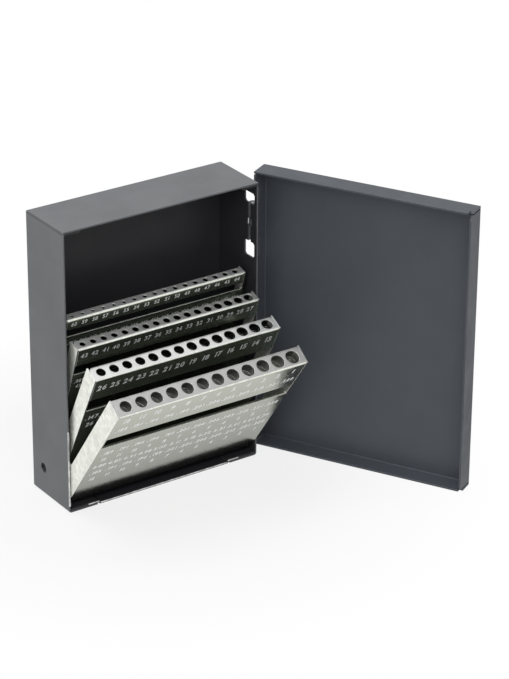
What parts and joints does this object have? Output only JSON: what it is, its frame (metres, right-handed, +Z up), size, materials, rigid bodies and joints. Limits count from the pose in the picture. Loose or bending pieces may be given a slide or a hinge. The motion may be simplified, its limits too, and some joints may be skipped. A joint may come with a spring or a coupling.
{
  "type": "drill bit drawer case",
  "caption": "Folded steel drill case with a side-hinged lid and graded, perforated leaves that fan forward on a common pivot line as the lid opens.",
  "frame": {"origin": "centre of the case underside, on the surface it stands on", "axes": "+X to the right along the width, +Y to the back, +Z up"},
  "size_m": [0.1555, 0.1067, 0.1291],
  "materials": {
    "case_paint": "grey baked enamel",
    "lid_paint": "grey baked enamel",
    "pin_steel": "drawn wire",
    "zinc_tray": "bright zinc plate",
    "zinc_cap": "bright zinc plate",
    "zinc_guide": "bright zinc plate",
    "zinc_shelf": "bright zinc plate"
  },
  "bodies": {
    "case": {"case_shell": "case_paint", "case_side_left": "case_paint", "case_side_right": "case_paint"},
    "lid": {"lid": "lid_paint", "hinge_pin_upper": "pin_steel", "hinge_pin_lower": "pin_steel"},
    "leaf_1": {"leaf_1_tray": "zinc_tray", "leaf_1_cap": "zinc_cap", "leaf_1_guide": "zinc_guide", "leaf_1_shelf": "zinc_shelf"},
    "leaf_2": {"leaf_2_tray": "zinc_tray", "leaf_2_cap": "zinc_cap", "leaf_2_guide": "zinc_guide", "leaf_2_shelf": "zinc_shelf"},
    "leaf_3": {"leaf_3_tray": "zinc_tray", "leaf_3_cap": "zinc_cap", "leaf_3_guide": "zinc_guide", "leaf_3_shelf": "zinc_shelf"},
    "leaf_4": {"leaf_4_tray": "zinc_tray", "leaf_4_cap": "zinc_cap", "leaf_4_guide": "zinc_guide", "leaf_4_shelf": "zinc_shelf"}
  },
  "joints": [
    {"name": "lid_hinge", "type": "hinge", "parent": "case", "child": "lid", "pos_m": [0.04846, -0.0093, 0.064], "axis": [0, 0, 1], "range_deg": [-119, 0]},
    {"name": "leaf_1_fan", "type": "hinge", "parent": "case", "child": "leaf_1", "pos_m": [0, 0.006, 0.0125], "axis": [1, 0, 0], "range_deg": [-36, 0]},
    {"name": "leaf_2_fan", "type": "hinge", "parent": "case", "child": "leaf_2", "pos_m": [0, 0.006, 0.0125], "axis": [1, 0, 0], "range_deg": [-26.5, 0]},
    {"name": "leaf_3_fan", "type": "hinge", "parent": "case", "child": "leaf_3", "pos_m": [0, 0.006, 0.0125], "axis": [1, 0, 0], "range_deg": [-19, 0]},
    {"name": "leaf_4_fan", "type": "hinge", "parent": "case", "child": "leaf_4", "pos_m": [0, 0.006, 0.0125], "axis": [1, 0, 0], "range_deg": [-14.5, 0]}
  ],
  "couplings": [
    {"joint": "leaf_1_fan", "follows": "lid_hinge", "ratio": 0.30252},
    {"joint": "leaf_2_fan", "follows": "lid_hinge", "ratio": 0.22269},
    {"joint": "leaf_3_fan", "follows": "lid_hinge", "ratio": 0.15966},
    {"joint": "leaf_4_fan", "follows": "lid_hinge", "ratio": 0.12185}
  ]
}
